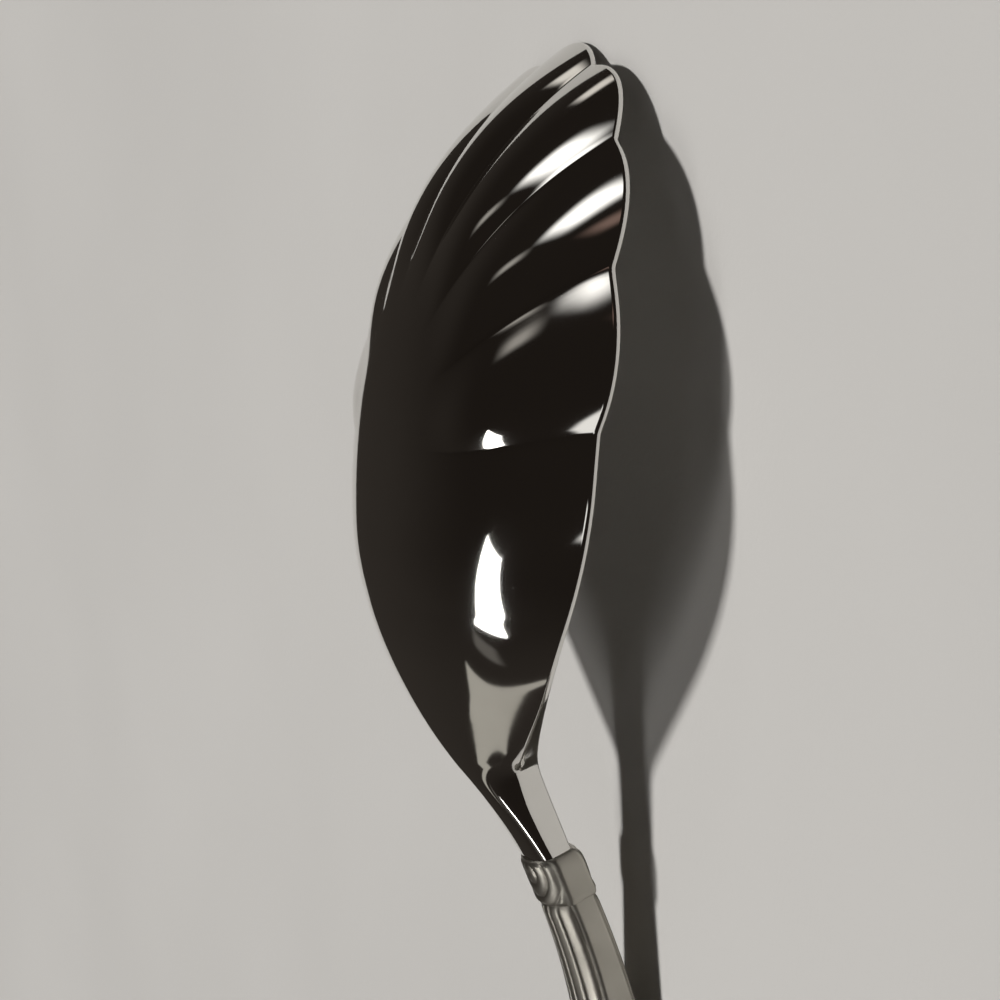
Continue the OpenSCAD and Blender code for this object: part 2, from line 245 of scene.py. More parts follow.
# Camera: direction and roll of the view, its target and the distance to it, focal length in pixels of a frame
# of so many pixels, width of its sensor, and the nearest distance that it sees, in metres
VIEW_AZIMUTH = 8.785
VIEW_ELEVATION = 21.62
VIEW_ROLL = -97.03
VIEW_TARGET = (40.24, 0, 9.05)
VIEW_DISTANCE = 258.7
FOCAL_PX = 3446.6
FRAME_PX = 1000
SENSOR_MM = 36
NEAR_CLIP = 0.01

# Floor, a disc: radius in metres and number of sides
FLOOR_R = 2.5
FLOOR_SIDES = 64

# Room: its darkest and palest light, the direction of the palest, and the cosine of the angle round it within
# which the light is palest
ROOM_DARK = (0.014, 0.011, 0.009)
ROOM_PALE = (0.032, 0.027, 0.023)
ROOM_PALE_SIDE = (-0.5, 0.85, -0.2)
ROOM_PALE_AT = 0.9

# Lamps: the point that they stand round and how far off, in metres, and the colours of their light
LAMP_CENTRE = (0.045, -0.01, 0.012)
LAMP_RANGE = 3
WARM = (1, 0.985, 0.96)
CREAM = (1, 0.95, 0.88)
BEIGE = (1, 0.96, 0.86)
RUST = (1, 0.66, 0.55)


# Curves

def ease(x, a, b):
    """Smooth step from 0 at a to 1 at b."""
    t = np.clip((np.asarray(x, float) - a) / (b - a), 0, 1)
    return (1 - np.cos(np.pi * t)) / 2


def soft_max(p, q, k):
    """Larger of p and q, with a fillet of size k where they cross."""
    return (p + q + np.sqrt((p - q) ** 2 + 4 * k * k)) / 2


def run(start, length, radius):
    """Point and slope of the spine after a length along a line, radius 0, or an arc."""
    x, z, a = start
    if radius == 0:
        return np.array([x + length * np.cos(a), z + length * np.sin(a), a + 0 * length])
    b = a + length / radius
    return np.array([x + radius * (np.sin(b) - np.sin(a)), z - radius * (np.cos(b) - np.cos(a)), b])


SHOULDER = (0, 0, np.radians(NECK_ANGLE))
NECK_LEN = NECK_R * np.radians(NECK_ANGLE - BOWL_ANGLE)
ARCH_LEN = ARCH_R * np.radians(NECK_ANGLE - HANDLE_ANGLE)
STEM_END = run(SHOULDER, STEM_STRAIGHT, 0)
NECK_END = run(STEM_END, NECK_LEN, -NECK_R)
COLLAR_END = run(SHOULDER, -COLLAR_LEN, 0)
ARCH_END = run(COLLAR_END, -ARCH_LEN, ARCH_R)


def spine(l):
    """Point and slope of the spine at a length towards the tip, negative towards the handle's end."""
    past_neck = l - STEM_STRAIGHT - NECK_LEN
    past_collar = l + COLLAR_LEN
    conditions = [past_neck > 0, l > STEM_STRAIGHT, past_collar > 0, past_collar > -ARCH_LEN]
    stretches = [
        run(NECK_END, past_neck, -RIM_R),
        run(STEM_END, l - STEM_STRAIGHT, -NECK_R),
        run(SHOULDER, l, 0),
        run(COLLAR_END, past_collar, ARCH_R),
    ]
    return np.select(conditions, stretches, run(ARCH_END, past_collar + ARCH_LEN, HANDLE_R))


def bend(points):
    """Flat layout points bent along the spine."""
    p = np.asarray(points, float)
    x, z, a = spine(p[..., 0])
    return np.stack([x - p[..., 2] * np.sin(a), p[..., 1], z + p[..., 2] * np.cos(a)], -1)


# Bowl and stem surfaces

def outline(l, fillet=NECK_FILLET):
    """Half width of the stem and the bowl's rear."""
    wide = HALF_W * np.cos(np.pi / 2 * np.minimum(PAST_REAR, (STEM_REACH - l) / BOWL_REAR))
    narrow = STEM_W / 2
    return soft_max(wide, narrow, fillet) - soft_max(HALF_W, narrow, fillet) + HALF_W


def waist(l):
    """How much lower the stem's back is near the collar."""
    return STEM_WAIST * np.maximum(0, 1 - l / WAIST_LEN) ** 2


def keel(l):
    """Height of the back along its middle."""
    return STEM_T + (BOWL_DEPTH - STEM_T) * ease(l, KEEL_FROM, KEEL_TO) - waist(l)


def edge(l):
    """Height of the edge face."""
    return STEM_SIDE + (RIM_EDGE - STEM_SIDE) * ease(l, SIDE_FROM, SIDE_TO) - 2 * waist(l)


def land(l):
    """Width of the flat land on the front, inside the edge."""
    return FLAT_LAND + (RIM_LAND - FLAT_LAND) * ease(l, SIDE_FROM, SIDE_TO)


def hollow(l):
    """Depth of the front's hollow along its middle."""
    return (BOWL_DEPTH - BOWL_WALL) * ease(l, STEM_STRAIGHT, KEEL_TO)


def dome(v, fullness=BOWL_FULLNESS):
    """Height of a curve at a share v of its way out, from 1 in the middle to 0."""
    return 1 - np.abs(v) ** fullness


def neck_fullness(l):
    """Fullness of the back's sections, lower at the neck."""
    start, most, end = NECK_SPAN
    return BOWL_FULLNESS - NECK_ROOF * ease(l, start, most) * ease(-l, -end, -most)


def front_outline(a):
    """Front outline as a vector from the bowl's middle at an angle round it."""
    a = np.radians(a)
    return np.stack([BOWL_FRONT * np.maximum(np.cos(a), 0) ** (2 / TIP_FULLNESS), HALF_W * np.sin(a)], -1)


def groove_angle(i):
    """Angle of groove i, counted from the tip lobe, negative on the other side."""
    if i < 0:
        return -groove_angle(-i - 1)
    even = FLUTE_END * (i + 0.5) / (SIDE_LOBES + 0.5)
    return even + FLUTE_BIAS * np.sin(np.radians(2 * even))


def lean(a, f):
    """Angle of a ray at a share f of its way out: the side grooves lean back on their way in."""
    s = np.abs(a) / 90
    back = np.sign(a) * FLUTE_SWEEP * np.minimum(SWEEP_REACH, 1 - f)
    return a + back * s ** SWEEP_GROWTH * (1 - s ** SWEEP_END)


def lobe_profile(t):
    """Swell across a lobe, from 0 at one groove through 1 to 0 at the next, with soft groove bottoms."""
    u = np.minimum(t, 1 - t)
    s = np.sqrt(u * u + GROOVE_SOFT ** 2) - GROOVE_SOFT
    s = s / (np.sqrt(0.25 + GROOVE_SOFT ** 2) - GROOVE_SOFT) / 2
    return 4 * s * (1 - s)


def fluted(a, swell, f, inset, depth, low, loss=0):
    """Points along a ray of the fluted front, at shares f of its way from the bowl's middle to the rim."""
    f = np.asarray(f, float)
    rim = front_outline(lean(a, f))
    r = np.linalg.norm(rim, axis=-1)
    rise = swell * f * ease(f, FLUTE_START, 1) ** FLUTE_RISE
    out = f * (r - inset) + LOBE_SWELL * rise
    lift = swell * f * ease(f, LIFT_FROM, LIFT_FULL) * ease(1 - f, 0, 1 - LIFT_FULL)
    up = low + depth * dome(f) - LOBE_DIP * rise + LOBE_LIFT * (1 - loss) * lift
    return np.stack([STEM_REACH + rim[..., 0] / r * out, rim[..., 1] / r * out, up], -1)


def skewed(t, i):
    """Share t of the way across lobe i, with its crest drawn towards the stem."""
    return t - LOBE_SKEW * i / SIDE_LOBES * t * (1 - t)


def fan_rays():
    """Rays of the front from one side to the other, as [angle, lobe swell in millimetres, loss of lift]."""
    last = groove_angle(SIDE_LOBES)
    plain = np.linspace(-90, -last, PLAIN_STEPS, endpoint=False)
    rays = [(a, 0, 0) for a in plain]
    ts = (1 - np.cos(np.pi * np.arange(LOBE_STEPS) / LOBE_STEPS)) / 2
    for i in range(-SIDE_LOBES, SIDE_LOBES + 1):
        a, b = groove_angle(i - 1), groove_angle(i)
        width = np.linalg.norm(front_outline(b) - front_outline(a))
        loss = LIFT_LOSS * abs(i) / SIDE_LOBES
        rays += [(a + t * (b - a), width * lobe_profile(skewed(t, i)), loss) for t in ts]
    return rays + [(last, 0, 0)] + [(-a, 0, 0) for a in plain[::-1]]


# Half sections: from the middle of the back, over the edge, to the middle of the front

OUTWARD = np.sin(np.pi / 2 * np.linspace(0, 1, BACK_STEPS + 1))
INWARD = np.sin(np.pi / 2 * np.linspace(1, 0, FRONT_STEPS + 1))


def rounding(a, corner, b):
    """Points of a soft corner after a, up to b."""
    t = np.linspace(0, 1, CORNER_STEPS + 1)[1:, None]
    return (1 - t) ** 2 * a + 2 * t * (1 - t) * corner + t * t * b


def half_section(back, top, low, front, soft):
    """Joins a back curve and a front curve by an edge face from top to low, with soft corners."""
    back, top, low, front = (np.asarray(p, float) for p in (back, top, low, front))
    share = min(SOFT_SHARE, soft / np.linalg.norm(top - low))
    land_share = min(SOFT_SHARE, soft / np.linalg.norm(front[0] - low))
    upper = rounding(back[-1], top, top + share * (low - top))
    start = low + share * (top - low)
    lower = rounding(start, low, low + land_share * (front[0] - low))
    return np.concatenate([back, upper, start[None], lower, front])


def columns(l, y, z):
    """Points of one section at a length l."""
    y, z = np.broadcast_arrays(y, z)
    return np.stack([np.full(y.shape, float(l)), y, z], -1)


def shoulder(l):
    """Width of the rounding between the back and the edge face, crispest at the neck."""
    start, crispest, end = SHOULDER_SPAN
    soft = EDGE_SOFT + (SHOULDER_SOFT - EDGE_SOFT) * ease(l, start, crispest)
    return soft + (SOFT_SHARE * RIM_EDGE - soft) * ease(l, crispest, end)


def stem_section(l):
    """Half section of the stem or the bowl's rear."""
    w, e, d, soft = outline(l), edge(l), land(l), shoulder(l)
    crown = keel(l) - e
    v = OUTWARD * (1 - soft / w)
    inner = outline(l, NECK_BLEND)
    back = columns(l, v * inner + v ** 3 * (w - inner), e + crown * dome(v, neck_fullness(l)))
    slope = (back[-2, 2] - back[-1, 2]) / (back[-1, 1] - back[-2, 1])
    front = columns(l, INWARD * (w - d), hollow(l) * dome(INWARD))
    return half_section(back, (l, w, back[-1, 2] - slope * (w - back[-1, 1])), (l, w, 0), front, soft)


def ray_section(a, swell, loss):
    """Half section along a ray of the bowl's fluted front."""
    soft = SOFT_SHARE * RIM_EDGE
    f = OUTWARD * (1 - soft / np.linalg.norm(front_outline(a)))
    back = fluted(a, swell, f, 0, BOWL_DEPTH - RIM_EDGE, RIM_EDGE, loss)
    top = fluted(a, swell, 1, 0, 0, RIM_EDGE)
    low = fluted(a, swell, 1, 0, 0, 0)
    front = fluted(a, swell, INWARD, RIM_LAND, BOWL_DEPTH - BOWL_WALL, 0, loss)
    return half_section(back, top, low, front, soft)


def tang_section(l, gap):
    """Half section of the tang, or with a gap of the slot round it."""
    w, top, low = TANG_W / 2 + gap, TANG_TOP + gap, TANG_LOW - gap
    soft = SOFT_SHARE * FLAT_LAND / 2
    back = columns(l, OUTWARD * (w - soft), top)
    front = columns(l, INWARD * (w - FLAT_LAND), low)
    return half_section(back, (l, w, top), (l, w, low), front, soft)


def loop_of(half):
    """Closed section from a half section and its mirror image."""
    mirrored = half[-2:0:-1] * (1, -1, 1)
    return np.concatenate([half, mirrored])


# Handle and collar surfaces

def taper(u):
    """Half width of the handle at a length u behind the collar."""
    return (HANDLE_W + (END_W - HANDLE_W) * u / (HANDLE_LEN - END_LEN)) / 2


def side(u):
    """Height of the handle's side, both shells together."""
    return SIDE_START + (SIDE_FULL - SIDE_START) * ease(u, 0, ARCH_LEN)


def reed_fade(u):
    """Share of the reeds' height that is left before the handle's end."""
    return ease(HANDLE_LEN - u, END_LEN / 2, REED_FADE)


def stations(steps, end_steps, end_angle, inset):
    """Stations of the handle as [length behind the collar, half width, share of the crown], with an inset."""
    straight = HANDLE_LEN - END_LEN
    u = straight * np.linspace(0, 1, steps + 1)
    turns = np.radians(end_angle) * np.arange(1, end_steps + 1) / end_steps
    end_u = straight + (END_LEN - inset) * np.sin(turns) / np.sin(np.radians(end_angle))
    end_w = (taper(straight) - inset) * np.cos(turns)
    rows = [(a, taper(a) - inset, 1) for a in u]
    return rows + list(zip(end_u, end_w, np.cos(turns)))


def ripple(t, v, w):
    """Height of the collar's ripples at a share t of its length and v of its half width w."""
    reach = np.hypot((t - RIPPLE_CENTRE) * COLLAR_LEN, v * w)
    stroke = np.abs(np.sin(np.pi * (reach / RIPPLE_SPACING + RIPPLE_PHASE))) ** RIPPLE_FLAT
    border = 1
    for share, limits in zip((t, 1 - t, 1 - np.abs(v)), RIPPLE_BORDERS):
        border = border * ease(share, *limits)
    return RIPPLE_H * stroke * border


# Resting pose, from the tip's front edge and the handle's front crest

TIP_SWELL = np.linalg.norm(front_outline(groove_angle(0)) - front_outline(groove_angle(-1)))
# The solid model's stations: steps along the handle and round its end, angle of the end, and inset
CAD_STATIONS = (22, 7, 84, 0)


def crest_points():
    """Front crest of the solid model's handle, on which the spoon rests."""
    rows = []
    for u, _, crown in stations(*CAD_STATIONS):
        drop = side(u) / 2 + crown * FRONT_CROWN + REED_H * reed_fade(u)
        rows.append((-COLLAR_LEN - u, 0, SEAM_H - drop))
    return bend(rows)


TIP_LOW = bend(fluted(0, TIP_SWELL, 1, 0, 0, 0))
TIP_TOP = bend(fluted(0, TIP_SWELL, 1, 0, 0, RIM_EDGE))
TILT = max(np.arctan2(TIP_LOW[2] - p[2], TIP_LOW[0] - p[0]) for p in crest_points())


def level(p):
    """Bent points tilted until the spoon rests."""
    c, s = np.cos(TILT), np.sin(TILT)
    return np.stack([p[..., 0] * c + p[..., 2] * s, p[..., 1], p[..., 2] * c - p[..., 0] * s], -1)


ORIGIN = np.array([level(TIP_TOP)[0] - CAD_BOX[1].x / MM, 0, level(TIP_LOW)[2]])


def lay(points):
    """Flat layout points in their resting place, in metres."""
    return (level(bend(points)) - ORIGIN) * MM


# Meshes

def mark_hollows(mesh):
    """Stores on each point how tightly the surface is hollowed there, 0 to 1, for the painted shade in
    hollows.
    """
    count = len(mesh.vertices)
    places, normals = np.empty(3 * count), np.empty(3 * count)
    mesh.vertices.foreach_get("co", places)
    mesh.vertices.foreach_get("normal", normals)
    places, normals = places.reshape(-1, 3), normals.reshape(-1, 3)
    ends = np.empty(2 * len(mesh.edges), int)
    mesh.edges.foreach_get("vertices", ends)
    a, b = ends.reshape(-1, 2).T
    step = places[b] - places[a]
    length = np.maximum((step ** 2).sum(1), (HOLLOW_EDGE * MM) ** 2)
    near = np.bincount(a, minlength=count) + np.bincount(b, minlength=count)
    rise_a = 2 * (step * normals[a]).sum(1) / length
    rise_b = -2 * (step * normals[b]).sum(1) / length
    bent = (np.bincount(a, rise_a, count) + np.bincount(b, rise_b, count)) / np.maximum(near, 1)
    hollowness = np.clip(bent * HOLLOW_R * MM, 0, 1)
    for _ in range(HOLLOW_SPREAD):
        around = np.bincount(a, hollowness[b], count) + np.bincount(b, hollowness[a], count)
        hollowness = (hollowness + around / np.maximum(near, 1)) / 2
    mark = mesh.attributes.new("hollow", "FLOAT", "POINT")
    mark.data.foreach_set("value", hollowness)


def make_piece(name, points, faces, node, material):
    """Adds a piece that takes the place of one node."""
    mesh = bpy.data.meshes.new(name)
    mesh.from_pydata([tuple(p) for p in points], [], faces)
    mesh.validate()
    mesh.shade_smooth()
    mark_hollows(mesh)
    mesh.set_sharp_from_angle(angle=np.radians(SHARP_ANGLE))
    mesh.materials.append(material)
    piece = bpy.data.objects.new(name, mesh)
    bpy.context.scene.collection.objects.link(piece)
    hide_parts(node)
    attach(piece, "root")
    return piece


def band(first, second):
    """Quads between two closed loops of vertex numbers."""
    n = len(first)
    return [(first[j], second[j], second[(j + 1) % n], first[(j + 1) % n]) for j in range(n)]


def make_bowl(material):
    tang = [tang_section(l, 0) for l in np.linspace(-TANG_LEN, 0, TANG_STEPS + 1)]
    stem = [stem_section(l) for l in STEM_REACH * np.linspace(0, 1, STEM_STEPS + 1)]
    loops = [loop_of(half) for half in tang + stem]
    size, half = len(loops[0]), len(stem[0])
    points = [p for loop in loops for p in loop]
    rows = [list(range(i * size, (i + 1) * size)) for i in range(len(loops))]
    faces = [tuple(rows[0])]
    for first, second in zip(rows, rows[1:]):
        faces += band(first, second)
    last = rows[-1]
    right = last[:half]
    left = [last[0]] + last[:half - 2:-1]
    rays = fan_rays()
    fan = [left]
    for ray in rays[1:-1]:
        section = ray_section(*ray)
        start = len(points)
        points += list(section[1:-1])
        fan.append([left[0]] + list(range(start, start + half - 2)) + [left[-1]])
    fan.append(right)
    for a, b in zip(fan, fan[1:]):
        faces.append((a[0], a[1], b[1]))
        faces += [(a[j], a[j + 1], b[j + 1], b[j]) for j in range(1, half - 2)]
        faces.append((a[-2], a[-1], b[-2]))
    return make_piece("bowl_polished", lay(points), faces, "bowl", material)


def quarter_round(x):
    """Height of a quarter circle at a share x of its run, from 0 to 1."""
    return np.sqrt(1 - (1 - np.clip(x, 0, 1)) ** 2)


def collar_section(t):
    """Half section of the collar, a bead that rounds up from the stem's sides and draws in at the handle."""
    full = HANDLE_W / 2 + COLLAR_SWELL
    grown = quarter_round(t / COLLAR_ROUND[0])
    drawn = COLLAR_DRAW * (1 - quarter_round((1 - t) / COLLAR_ROUND[1]))
    w = STEM_W / 2 + (full - STEM_W / 2) * (grown - drawn)
    s = SIDE_START / 2 + COLLAR_PROUD
    low = SEAM_H + (s - SEAM_H) * (grown - drawn)
    l = -COLLAR_LEN * t
    v = OUTWARD * (1 - COLLAR_SOFT / w)
    back = columns(l, v * w, SEAM_H + s + BACK_CROWN * (1 - v * v) + ripple(t, v, w))
    front_v = INWARD * (1 - COLLAR_SOFT / w)
    front_z = SEAM_H - low - FRONT_CROWN * (1 - front_v * front_v) - ripple(t, front_v, w)
    front = columns(l, front_v * w, front_z)
    return half_section(back, (l, w, SEAM_H + s), (l, w, SEAM_H - low), front, COLLAR_SOFT)


def make_collar(material):
    halves = [tang_section(0, FIT_GAP)]
    halves += [collar_section((1 - np.cos(np.pi * t)) / 2) for t in np.linspace(0, 1, COLLAR_STEPS + 1)]
    halves.append(tang_section(-COLLAR_LEN, FIT_GAP))
    loops = [loop_of(half) for half in halves]
    size, count = len(loops[0]), len(loops)
    rows = [list(range(i * size, (i + 1) * size)) for i in range(count)]
    faces = []
    for i in range(count):
        faces += band(rows[(i + 1) % count], rows[i])
    points = lay(np.concatenate(loops))
    return make_piece("collar_rippled", points, faces, "collar", material)


def reed_height(u, s):
    """Height of a reed at a share s of its width, with a round end at the collar."""
    short = np.clip((REED_START + REED_TIP - u) / REED_TIP, 0, 1)
    return REED_H * reed_fade(u) * np.sqrt(np.maximum(0, 1 - (2 * s - 1) ** REED_FLAT - short ** 2))


REED_S = np.tile((1 - np.cos(np.pi * np.arange(REED_STEPS) / REED_STEPS)) / 2, REEDS)
REED_V = 2 * (np.repeat(np.arange(REEDS), REED_STEPS) + REED_S) / REEDS - 1
REED_S = np.append(REED_S, 0)
REED_V = np.append(REED_V, 1)


def shell_row(station, up, crown, inset):
    """One row across a half shell: up the side, over the crown, and down the other side."""
    u, w, share = station
    l = -COLLAR_LEN - u
    s = side(u) / 2 - inset
    soft = min(HANDLE_SOFT, w / 2)
    v = REED_V * (1 - soft / w)
    reed = 0 if inset else reed_height(u, REED_S)
    crest = columns(l, v * w, SEAM_H + up * (s + share * crown * (1 - v * v) + reed))
    corner = np.array([l, w, SEAM_H + up * s])
    drop = np.array([l, w, SEAM_H + up * (s - soft)])
    right = rounding(crest[-1], corner, drop)
    left = right[::-1] * (1, -1, 1)
    ends = columns(l, np.array([-w, w]), SEAM_H)
    return np.concatenate([ends[:1], left, crest, right, ends[1:]])


def make_shell(name, node, up, crown, material):
    outer, inner = (
        [shell_row(st, up, crown, inset) for st in stations(HANDLE_STEPS, END_STEPS, END_ANGLE, inset)]
        for inset in (0, SHELL_WALL)
    )
    size, count = len(outer[0]), len(outer)
    shift = size * count
    sheet = []
    for i in range(count - 1):
        a, b = i * size, (i + 1) * size
        sheet += [(a + j, b + j, b + j + 1, a + j + 1) for j in range(size - 1)]
    sheet.append(tuple(range((count - 1) * size, count * size)))
    ring = [i * size for i in range(count)]
    ring += [i * size + size - 1 for i in reversed(range(count))]
    ring += list(range(size - 2, 0, -1))
    faces = sheet + [tuple(n + shift for n in reversed(face)) for face in sheet]
    faces += [(b, a, a + shift, b + shift) for a, b in zip(ring, ring[1:] + ring[:1])]
    if up > 0:
        faces = [tuple(reversed(face)) for face in faces]
    points = lay(np.concatenate(outer + inner))
    return make_piece(name, points, faces, node, material)


# Materials

def new_material(name):
    material = bpy.data.materials.new(name)
    material.use_nodes = True
    tree = material.node_tree
    return material, tree, tree.nodes["Principled BSDF"]


def add_node(tree, kind, **values):
    node = tree.nodes.new(kind)
    for key, value in values.items():
        setattr(node, key, value)
    return node


def noise(tree, grains, detail, turn=0):
    """Noise over the object, at a number of grains a metre, or one for each axis."""
    where = add_node(tree, "ShaderNodeTexCoord")
    mapping = add_node(tree, "ShaderNodeMapping")
    mapping.inputs["Scale"].default_value = grains if isinstance(grains, tuple) else (grains, grains, grains)
    mapping.inputs["Rotation"].default_value = (0, 0, np.radians(turn))
    grain = add_node(tree, "ShaderNodeTexNoise")
    grain.inputs["Scale"].default_value = 1
    grain.inputs["Detail"].default_value = detail
    tree.links.new(where.outputs["Object"], mapping.inputs["Vector"])
    tree.links.new(mapping.outputs["Vector"], grain.inputs["Vector"])
    return grain.outputs["Fac"]


def spread(tree, value, start, end, low, high):
    """A value between start and end, taken to low and high and held there beyond them."""
    node = add_node(tree, "ShaderNodeMapRange", interpolation_type="SMOOTHSTEP")
    for name, number in zip(("From Min", "From Max", "To Min", "To Max"), (start, end, low, high)):
        node.inputs[name].default_value = number
    tree.links.new(value, node.inputs["Value"])
    return node.outputs["Result"]


def combine(tree, operation, first, second):
    node = add_node(tree, "ShaderNodeMath", operation=operation)
    tree.links.new(first, node.inputs[0])
    tree.links.new(second, node.inputs[1])
    return node.outputs["Value"]


def mix_colors(tree, factor, first, second):
    """Colour between two colours, or between a socket and a colour."""
    node = add_node(tree, "ShaderNodeMix", data_type="RGBA")
    tree.links.new(factor, node.inputs["Factor"])
    for value, socket in ((first, node.inputs[6]), (second, node.inputs[7])):
        if isinstance(value, tuple):
            socket.default_value = (*value, 1)
        else:
            tree.links.new(value, socket)
    return node.outputs[2]


def bump(tree, shader, height, distance):
    node = add_node(tree, "ShaderNodeBump")
    node.inputs["Strength"].default_value = 1
    node.inputs["Distance"].default_value = distance
    tree.links.new(height, node.inputs["Height"])
    tree.links.new(node.outputs["Normal"], shader.inputs["Normal"])


def scratches(tree, grains, turn, level):
    """Mask of hairline scratches along a turned axis."""
    return spread(tree, noise(tree, grains, 2, turn), level, level + HAIRLINE_EDGE, 0, 1)


def polished_metal(name, clear, clouded, roughness, cover):
    """Polished metal with faint clouding, hairline scratches and painted shade, a darker colour, in its
    hollows.
    """
    material, tree, shader = new_material(name)
    shader.inputs["Metallic"].default_value = 1
    clouds = noise(tree, CLOUD_GRAINS, 4)
    hairlines = combine(tree, "MAXIMUM", *(scratches(tree, *line) for line in HAIRLINES))
    mark = add_node(tree, "ShaderNodeAttribute", attribute_name="hollow")
    patches = spread(tree, clouds, *FINISH_SPAN, HOLLOW_SHADE_LEAST * cover, cover)
    # Painted shade: hollows, where shade falls, take a darker colour, spread in patches by the clouds.
    hollow_shade = combine(tree, "MULTIPLY", mark.outputs["Fac"], patches)
    clean = mix_colors(tree, spread(tree, clouds, *TONE_SPAN, 0, 1), clear, clouded)
    tree.links.new(mix_colors(tree, hollow_shade, clean, HOLLOW_SHADE_COLOR), shader.inputs["Base Color"])
    gloss = spread(tree, clouds, *FINISH_SPAN, *(share * roughness for share in GLOSS_RANGE))
    dull = combine(tree, "MAXIMUM", gloss, spread(tree, hairlines, 0, 1, 0, SCRATCH_ROUGHNESS))
    dull = combine(tree, "ADD", dull, spread(tree, hollow_shade, 0, 1, 0, HOLLOW_SHADE_ROUGHNESS))
    tree.links.new(dull, shader.inputs["Roughness"])
    grooves = spread(tree, hairlines, 0, 1, 0, SCRATCH_DEPTH)
    bump(tree, shader, combine(tree, "SUBTRACT", noise(tree, POLISH_GRAINS, 2), grooves), POLISH_RIPPLE)
    return material


def filling_cement():
    """Pale gritty cement."""
    material, tree, shader = new_material("filling_cement")
    grit = noise(tree, GRIT_GRAINS, 6)
    pale = mix_colors(tree, spread(tree, grit, *TONE_SPAN, 0, 1), *CEMENT_TONES)
    tree.links.new(pale, shader.inputs["Base Color"])
    tree.links.new(spread(tree, grit, *FINISH_SPAN, *CEMENT_ROUGHNESS), shader.inputs["Roughness"])
    bump(tree, shader, grit, GRIT_H)
    return material


def pale_floor():
    """Pale table top with a faint cloudy tone and a fine tooth."""
    material, tree, shader = new_material("pale_table")
    clouds = noise(tree, TABLE_GRAINS, 5)
    pale = mix_colors(tree, spread(tree, clouds, *FINISH_SPAN, 0, 1), *TABLE_TONES)
    tree.links.new(pale, shader.inputs["Base Color"])
    tree.links.new(spread(tree, clouds, *FINISH_SPAN, *TABLE_ROUGHNESS), shader.inputs["Roughness"])
    bump(tree, shader, noise(tree, TOOTH_GRAINS, 3), TOOTH_H)
    return material


# Stage

def make_camera():
    az, el, roll = np.radians((VIEW_AZIMUTH, VIEW_ELEVATION, VIEW_ROLL))
    back = np.array([np.sin(az) * np.cos(el), -np.cos(az) * np.cos(el), np.sin(el)])
    up = np.array([0, 0, 1]) - back * back[2]
    up /= np.linalg.norm(up)
    right = np.cross(up, back)
    x_axis = np.cos(roll) * right + np.sin(roll) * up
    y_axis = np.cos(roll) * up - np.sin(roll) * right
    place = (np.array(VIEW_TARGET) + VIEW_DISTANCE * back) * MM
    camera = bpy.data.objects.new("camera", bpy.data.cameras.new("camera"))
    camera.data.sensor_width = SENSOR_MM
    camera.data.lens = FOCAL_PX / FRAME_PX * SENSOR_MM
    camera.data.clip_start = NEAR_CLIP
    camera.matrix_world = Matrix.Translation(Vector(place)) @ Matrix(
        np.stack([x_axis, y_axis, back], 1).tolist()
    ).to_4x4()
    bpy.context.scene.collection.objects.link(camera)
    bpy.context.scene.camera = camera


def make_floor():
    mesh = bpy.data.meshes.new("floor")
    turns = np.linspace(0, 2 * np.pi, FLOOR_SIDES, endpoint=False)
    rim = [(FLOOR_R * np.cos(a), FLOOR_R * np.sin(a), 0) for a in turns]
    mesh.from_pydata(rim, [], [tuple(range(FLOOR_SIDES))])
    mesh.materials.append(pale_floor())
    floor = bpy.data.objects.new("floor", mesh)
    bpy.context.scene.collection.objects.link(floor)


def along(tree, vector, direction):
    """Length of a vector along a direction."""
    dot = add_node(tree, "ShaderNodeVectorMath", operation="DOT_PRODUCT")
    dot.inputs[1].default_value = direction
    tree.links.new(vector, dot.inputs[0])
    return dot.outputs["Value"]


def soften(data, share, drop, rise):
    """Fades a lamp towards its edges over a share of its half size.

    Its upper edge drops from its first side to its far side, and its lower edge rises from its far side to
    its first side, by these shares of its height.
    """
    data.use_nodes = True
    tree = data.node_tree
    place = add_node(tree, "ShaderNodeNewGeometry").outputs["Parametric"]
    across = along(tree, place, (1, 0, 0))
    upper = along(tree, place, (drop, 1, 0))
    lower = along(tree, place, (rise, 1, 0))
    ramp = share / 2
    tall = ramp * (1 - (drop + rise) / 2)
    fades = [
        spread(tree, across, 0, ramp, 0, 1),
        spread(tree, across, 1 - ramp, 1, 1, 0),
        spread(tree, lower, rise, rise + tall, 0, 1),
        spread(tree, upper, 1 - tall, 1, 1, 0),
    ]
    light = fades[0]
    for fade in fades[1:]:
        light = combine(tree, "MULTIPLY", light, fade)
    tree.links.new(light, tree.nodes["Emission"].inputs["Strength"])


def make_lamp(name, place, size, radiance, color, soft, slant=0, drop=0, rise=0):
    """Softbox at an azimuth and an elevation from the bowl, with a width and a height in degrees.

    Azimuth 0 is towards the viewer and 90 towards the tip. Its first side is the one at the lesser azimuth.
    """
    az, el = np.radians(place)
    away = Vector((np.sin(az) * np.cos(el), -np.cos(az) * np.cos(el), np.sin(el)))
    east = Vector((np.cos(az), np.sin(az), 0))
    north = away.cross(east)
    turn = Matrix.Rotation(np.radians(slant), 3, away)
    axes = Matrix((turn @ east, turn @ north, away)).transposed()
    data = bpy.data.lights.new(name, "AREA")
    data.shape = "RECTANGLE"
    data.size, data.size_y = (2 * LAMP_RANGE * np.tan(np.radians(angle / 2)) for angle in size)
    data.energy = radiance * np.pi * data.size * data.size_y
    data.color = color
    soften(data, soft, drop, rise)
    lamp = bpy.data.objects.new(name, data)
    lamp.matrix_world = Matrix.Translation(Vector(LAMP_CENTRE) + LAMP_RANGE * away) @ axes.to_4x4()
    lamp.visible_camera = False
    bpy.context.scene.collection.objects.link(lamp)
    return lamp


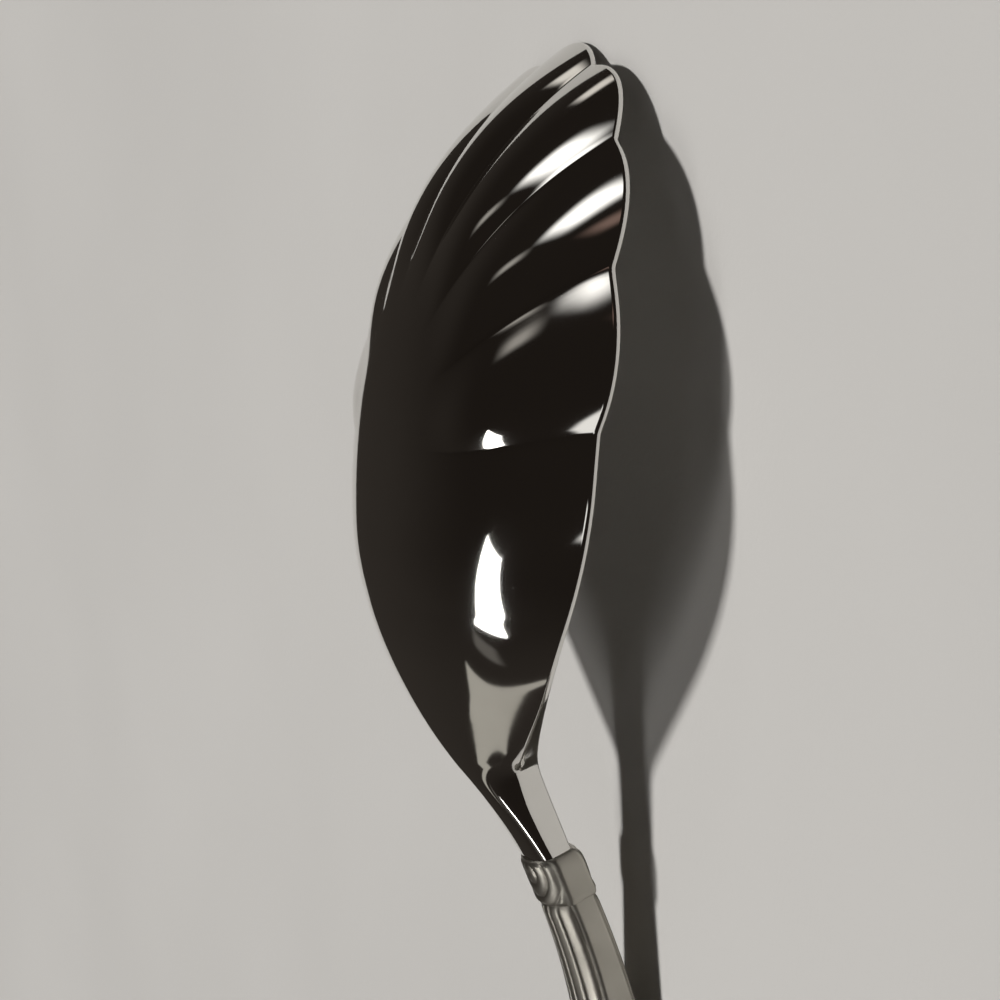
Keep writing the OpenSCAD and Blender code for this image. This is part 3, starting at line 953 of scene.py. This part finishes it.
def make_world():
    """Dark room, a little paler on the handle's far side."""
    world = bpy.data.worlds.new("room")
    world.use_nodes = True
    tree = world.node_tree
    where = add_node(tree, "ShaderNodeTexCoord")
    paler = along(tree, where.outputs["Generated"], ROOM_PALE_SIDE)
    ramp = add_node(tree, "ShaderNodeValToRGB")
    ramp.color_ramp.interpolation = "EASE"
    for stop, place, color in zip(ramp.color_ramp.elements, (0, ROOM_PALE_AT), (ROOM_DARK, ROOM_PALE)):
        stop.position = place
        stop.color = (*color, 1)
    tree.links.new(paler, ramp.inputs["Fac"])
    tree.links.new(ramp.outputs["Color"], tree.nodes["Background"].inputs["Color"])
    bpy.context.scene.world = world


def make_lights():
    """One lamp that lights the table and isn't mirrored, and the softboxes that the metal mirrors."""
    make_world()
    key = make_lamp("ceiling_lamp", (150, 80), (8, 8), radiance=190, color=WARM, soft=0.3)
    key.visible_glossy = False
    make_lamp("window", (-100.3, 58.4), (8, 41.3), radiance=7, color=WARM, soft=0.05, drop=0.22, rise=0.3)
    make_lamp("sill", (-103.4, 38), (6.7, 25.5), radiance=0.1, color=CREAM, soft=0.5, drop=0.59, rise=0.69)
    make_lamp("wall", (-104.1, 23), (12.2, 31.1), radiance=0.4, color=BEIGE, soft=0.1, drop=0.95, rise=0.58)
    make_lamp("side", (97, 37.5), (17, 22), radiance=1.9, color=WARM, soft=0.75)
    make_lamp("tip_low", (130, 9), (10, 6), radiance=0.8, color=CREAM, soft=0.7, slant=-25)
    make_lamp("side_far", (118, 50), (20, 7), radiance=0.35, color=CREAM, soft=0.9)
    make_lamp("overhead", (-32, 57), (22, 11), radiance=1, color=WARM, soft=0.35)
    make_lamp("rust_card", (74, 44), (12, 12), radiance=0.2, color=RUST, soft=0.9)


make_bowl(polished_metal("bowl_metal", METAL_COLOR, METAL_CLOUDED, BOWL_ROUGHNESS, BOWL_HOLLOW_SHADE))
# The handle and collar take the darker metal colours, painted shade for the shadowed floor that they mirror.
handle_metal = polished_metal("handle_metal", HANDLE_SHADED_COLOR, HANDLE_SHADED_CLOUDED, HANDLE_ROUGHNESS, HANDLE_HOLLOW_SHADE)
make_collar(handle_metal)
make_shell("handle_back_reeded", "handle_back", 1, BACK_CROWN, handle_metal)
make_shell("handle_front_reeded", "handle_front", -1, FRONT_CROWN, handle_metal)
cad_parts["handle_filler"].data.materials.clear()
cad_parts["handle_filler"].data.materials.append(filling_cement())
make_camera()
make_floor()
make_lights()
bpy.context.scene.view_settings.view_transform = "Standard"
